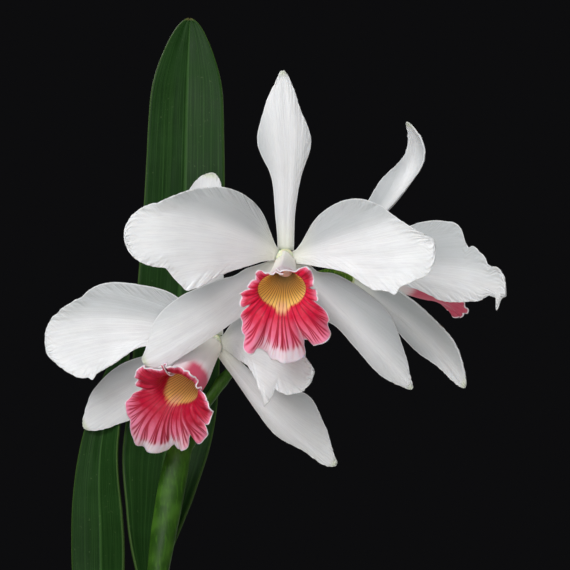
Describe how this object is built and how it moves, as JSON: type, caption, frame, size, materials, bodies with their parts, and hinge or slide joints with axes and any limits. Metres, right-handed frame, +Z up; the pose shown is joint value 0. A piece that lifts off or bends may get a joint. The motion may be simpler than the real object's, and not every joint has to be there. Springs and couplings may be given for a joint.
{
  "type": "potted cattleya orchid",
  "caption": "White orchid blooms with frilled rose-red lips on a stem above strap leaves and pseudobulbs, growing in bark in a plain clay pot.",
  "frame": {"origin": "centre of the pot's foot, on the surface that it stands on", "axes": "+Z up the pot's axis and the plant; -Y the way the front bloom faces; +X to the right as that bloom is looked at"},
  "size_m": [0.3939, 0.2248, 0.6203],
  "materials": {
    "terracotta": "matt unglazed clay",
    "bark": "rough fir bark chips",
    "rhizome": "dull, with papery grey roots",
    "pseudobulb": "satin, furrowed green",
    "leaf": "waxy dark green",
    "stem": "satin light green",
    "sheath": "thin, slightly translucent green",
    "tepal": "soft sparkling white, faintly veined",
    "lip": "velvety rose red, yellow in the throat, pale at the margin",
    "column": "waxy cream"
  },
  "bodies": {
    "root": {"pot": "terracotta", "bark_medium": "bark", "rhizome_roots": "rhizome", "pseudobulb_lead": "pseudobulb", "pseudobulb_second": "pseudobulb", "pseudobulb_old": "pseudobulb", "pseudobulb_side": "pseudobulb", "pseudobulb_young": "pseudobulb", "leaf_upright": "leaf", "leaf_second": "leaf", "leaf_low_left": "leaf", "leaf_low_right": "leaf", "leaf_young": "leaf", "flower_sheath": "sheath", "peduncle": "stem", "front_pedicel": "stem", "left_pedicel": "stem", "right_pedicel": "stem", "front_dorsal_sepal": "tepal", "front_lateral_sepal_l": "tepal", "front_lateral_sepal_r": "tepal", "front_petal_l": "tepal", "front_petal_r": "tepal", "front_lip": "lip", "front_column": "column", "left_dorsal_sepal": "tepal", "left_lateral_sepal_l": "tepal", "left_lateral_sepal_r": "tepal", "left_petal_l": "tepal", "left_petal_r": "tepal", "left_lip": "lip", "left_column": "column", "right_dorsal_sepal": "tepal", "right_lateral_sepal_l": "tepal", "right_lateral_sepal_r": "tepal", "right_petal_l": "tepal", "right_petal_r": "tepal", "right_lip": "lip", "right_column": "column"}
  },
  "joints": []
}
